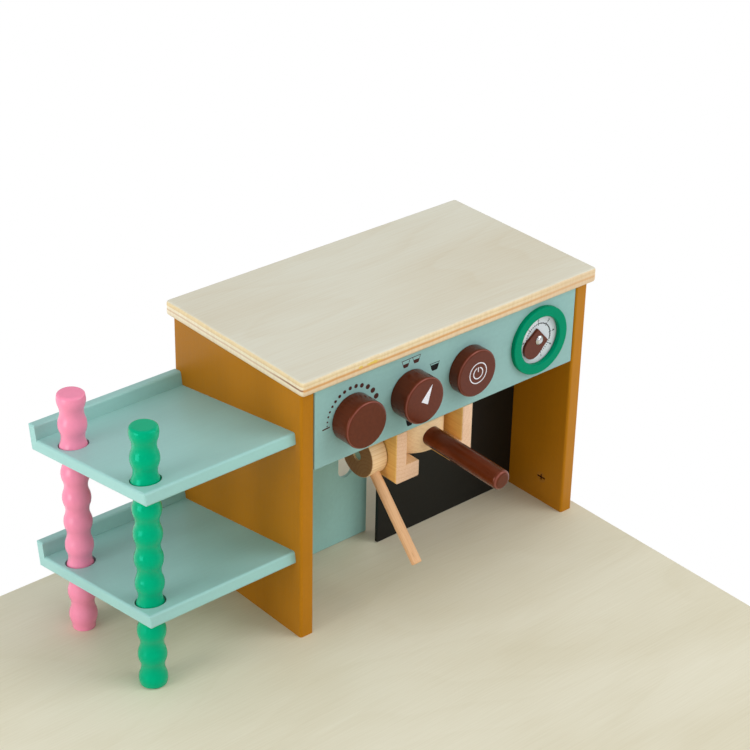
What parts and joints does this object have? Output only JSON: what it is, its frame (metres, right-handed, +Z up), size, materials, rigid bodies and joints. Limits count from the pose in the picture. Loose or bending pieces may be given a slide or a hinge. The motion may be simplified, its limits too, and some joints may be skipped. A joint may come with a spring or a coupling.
{
  "type": "toy coffee maker",
  "caption": "Wooden play espresso machine: knobs, a gauge, pull-out portafilter, swinging steam wand, two sliding rear doors, and tilted side shelves on waved posts",
  "frame": {"origin": "middle of the footprint's bounding box, on the worktop plane that the object stands on", "axes": "+Z up, +X to the right seen from the front, -Y towards the user; the shelves are at -X"},
  "size_m": [0.418, 0.2306, 0.2215],
  "materials": {
    "mustard_paint": "satin",
    "mint_paint": "satin",
    "birch_plywood": "matte",
    "natural_beech": "matte",
    "rod_wood": "matte",
    "brown_lacquer": "satin",
    "black_paint": "matte",
    "ring_green": "satin",
    "post_green": "gloss",
    "post_pink": "gloss",
    "dial_white": "matte",
    "bare_steel": "satin",
    "nut_brown": "satin"
  },
  "bodies": {
    "housing": {"left_side_panel": "mustard_paint", "right_side_panel": "mustard_paint", "top_panel": "birch_plywood", "front_fascia": "mint_paint", "bay_ceiling": "birch_plywood", "left_holder_rail": "natural_beech", "right_holder_rail": "natural_beech", "gauge_ring": "ring_green", "gauge_dial": "dial_white", "gauge_rivet": "bare_steel", "steam_wand_pin": "mint_paint", "upper_shelf": "mint_paint", "upper_shelf_lip": "mint_paint", "lower_shelf": "mint_paint", "lower_shelf_lip": "mint_paint", "front_post": "post_green", "rear_post": "post_pink", "top_dowels": "natural_beech", "fascia_dowels": "natural_beech", "ceiling_dowels": "natural_beech", "shelf_dowels": "natural_beech", "shelf_pins": "bare_steel", "rail_screws": "bare_steel", "barrel_nuts": "nut_brown"},
    "strength_knob": {"strength_knob": "brown_lacquer", "strength_knob_screw": "bare_steel"},
    "selector_knob": {"selector_knob": "brown_lacquer", "selector_knob_screw": "bare_steel"},
    "power_knob": {"power_knob": "brown_lacquer", "power_knob_screw": "bare_steel"},
    "gauge_pointer": {"gauge_pointer": "brown_lacquer"},
    "portafilter": {"portafilter_head": "natural_beech", "portafilter_handle": "brown_lacquer"},
    "steam_wand": {"steam_wand_hub": "natural_beech", "steam_wand_rod": "rod_wood"},
    "black_door": {"black_sliding_door": "black_paint"},
    "mint_door": {"mint_sliding_door": "mint_paint"}
  },
  "joints": [
    {"name": "strength_knob_turn", "type": "hinge", "parent": "housing", "child": "strength_knob", "pos_m": [-0.0323, -0.04135, 0.1745], "axis": [0, -1, 0], "continuous": true},
    {"name": "selector_knob_turn", "type": "hinge", "parent": "housing", "child": "selector_knob", "pos_m": [0.023, -0.04135, 0.1745], "axis": [0, -1, 0], "continuous": true},
    {"name": "power_knob_turn", "type": "hinge", "parent": "housing", "child": "power_knob", "pos_m": [0.081, -0.04135, 0.1745], "axis": [0, -1, 0], "continuous": true},
    {"name": "gauge_pointer_turn", "type": "hinge", "parent": "housing", "child": "gauge_pointer", "pos_m": [0.1542, -0.04135, 0.1745], "axis": [0, -1, 0], "continuous": true},
    {"name": "portafilter_pull", "type": "slide", "parent": "housing", "child": "portafilter", "axis": [0, -1, 0], "range_m": [0, 0.13]},
    {"name": "steam_wand_swing", "type": "hinge", "parent": "housing", "child": "steam_wand", "pos_m": [0.0037, -0.01425, 0.1178], "axis": [1, 0, 0], "range_deg": [-78, 61]},
    {"name": "black_door_slide", "type": "slide", "parent": "housing", "child": "black_door", "axis": [1, 0, 0], "range_m": [-0.115, 0]},
    {"name": "mint_door_slide", "type": "slide", "parent": "housing", "child": "mint_door", "axis": [1, 0, 0], "range_m": [0, 0.141]}
  ]
}
